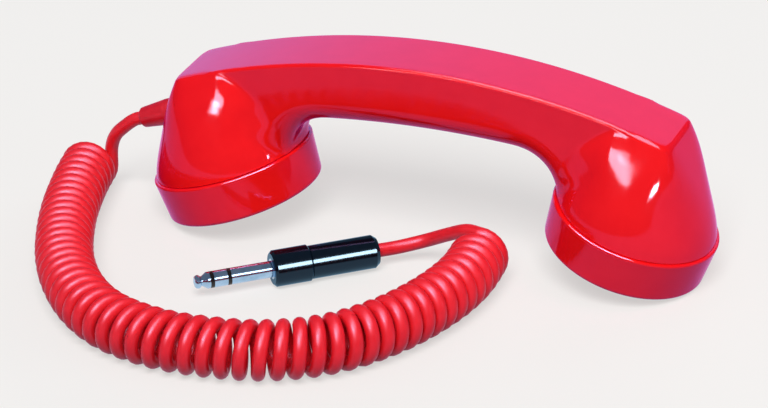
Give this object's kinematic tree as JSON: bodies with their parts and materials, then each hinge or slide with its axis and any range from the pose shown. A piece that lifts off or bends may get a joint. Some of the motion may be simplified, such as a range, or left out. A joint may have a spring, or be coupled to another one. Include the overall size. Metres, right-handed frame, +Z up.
{
  "type": "corded telephone handset",
  "caption": "Corded telephone handset with screw-on ear and mouth caps, a receiver and microphone inside, and a curly cord ending in a three-pole 6.35 mm plug.",
  "frame": {"origin": "on the ground under the middle of the grip, with the handset resting on the outer edges of its two caps", "axes": "+X along the grip from the mouth end to the ear end, +Z up, +Y away from the side on which the cord lies"},
  "size_m": [0.2706, 0.1675, 0.0785],
  "materials": {
    "red_plastic": "high gloss moulded plastic",
    "red_cord": "smooth flexible cable jacket",
    "black_plastic": "gloss black plastic",
    "rubber": "matt rubber",
    "paper_cone": "matt",
    "magnet": "matt ceramic magnet",
    "steel": "satin",
    "bright_metal": "bright nickel",
    "brass": "bright",
    "copper_winding": "enamelled wire",
    "laminate": "matt laminate",
    "liner": "matt",
    "wire_white": "wire insulation",
    "wire_black": "wire insulation",
    "wire_green": "wire insulation",
    "wire_blue": "wire insulation"
  },
  "bodies": {
    "handset": {"handle_shell": "red_plastic", "receiver_frame": "black_plastic", "receiver_cover": "steel", "receiver_magnet": "magnet", "receiver_pole_plate": "steel", "receiver_yoke": "steel", "receiver_terminal_strip": "laminate", "receiver_screws": "brass", "mic_holder": "rubber", "mic_case": "bright_metal", "mic_grille": "bright_metal", "mic_diaphragm": "brass", "mic_backplate": "steel", "terminal_board": "laminate", "terminal_screws": "brass", "ear_wire_signal": "wire_white", "ear_wire_ground": "wire_black", "mic_wires": "wire_green", "cord_cores": "wire_blue", "cord_boot": "red_cord", "cord_clamp": "bright_metal", "cord_lead": "red_cord", "curly_cord": "red_cord", "cord_tail": "red_cord", "plug_tip": "bright_metal", "plug_ring": "bright_metal", "plug_sleeve": "bright_metal", "plug_insulator_front": "black_plastic", "plug_insulator_rear": "black_plastic", "plug_collar": "black_plastic", "plug_tags": "brass", "plug_cord_clamp": "bright_metal"},
    "ear_ring": {"ear_washer": "rubber"},
    "ear_cap": {"ear_cap": "red_plastic"},
    "mouth_ring": {"mouth_washer": "rubber"},
    "mouth_cap": {"mouth_cap": "red_plastic"},
    "receiver_motion": {"receiver_cone": "paper_cone", "receiver_voice_coil": "copper_winding"},
    "plug_slider": {"plug_liner": "liner"},
    "plug_barrel": {"plug_barrel": "black_plastic"}
  },
  "joints": [
    {"name": "ear_cap_travel", "type": "slide", "parent": "handset", "child": "ear_ring", "axis": [-0.3007, 0, -0.9537], "range_m": [0, 0.0096]},
    {"name": "ear_cap_turn", "type": "hinge", "parent": "ear_ring", "child": "ear_cap", "pos_m": [0.0805, 0, 0.01782], "axis": [-0.3007, 0, -0.9537], "range_deg": [0, 1440]},
    {"name": "mouth_cap_travel", "type": "slide", "parent": "handset", "child": "mouth_ring", "axis": [0.3007, 0, -0.9537], "range_m": [0, 0.0096]},
    {"name": "mouth_cap_turn", "type": "hinge", "parent": "mouth_ring", "child": "mouth_cap", "pos_m": [-0.0805, 0, 0.01782], "axis": [0.3007, 0, -0.9537], "range_deg": [0, 1440]},
    {"name": "receiver_cone_stroke", "type": "slide", "parent": "handset", "child": "receiver_motion", "axis": [-0.3007, 0, -0.9537], "range_m": [-0.00035, 0.00035], "stiffness_N_per_m": 600},
    {"name": "plug_barrel_travel", "type": "slide", "parent": "handset", "child": "plug_slider", "axis": [0.7672, 0.6414, 0], "range_m": [0, 0.008]},
    {"name": "plug_barrel_turn", "type": "hinge", "parent": "plug_slider", "child": "plug_barrel", "pos_m": [-0.02252, -0.03494, 0.007], "axis": [0.7672, 0.6414, 0], "range_deg": [0, 2880]}
  ],
  "couplings": [
    {"joint": "ear_cap_travel", "follows": "ear_cap_turn", "m_per_rad": 0.00038197},
    {"joint": "mouth_cap_travel", "follows": "mouth_cap_turn", "m_per_rad": 0.00038197},
    {"joint": "plug_barrel_turn", "follows": "plug_barrel_travel", "rad_per_m": 6283.2}
  ]
}
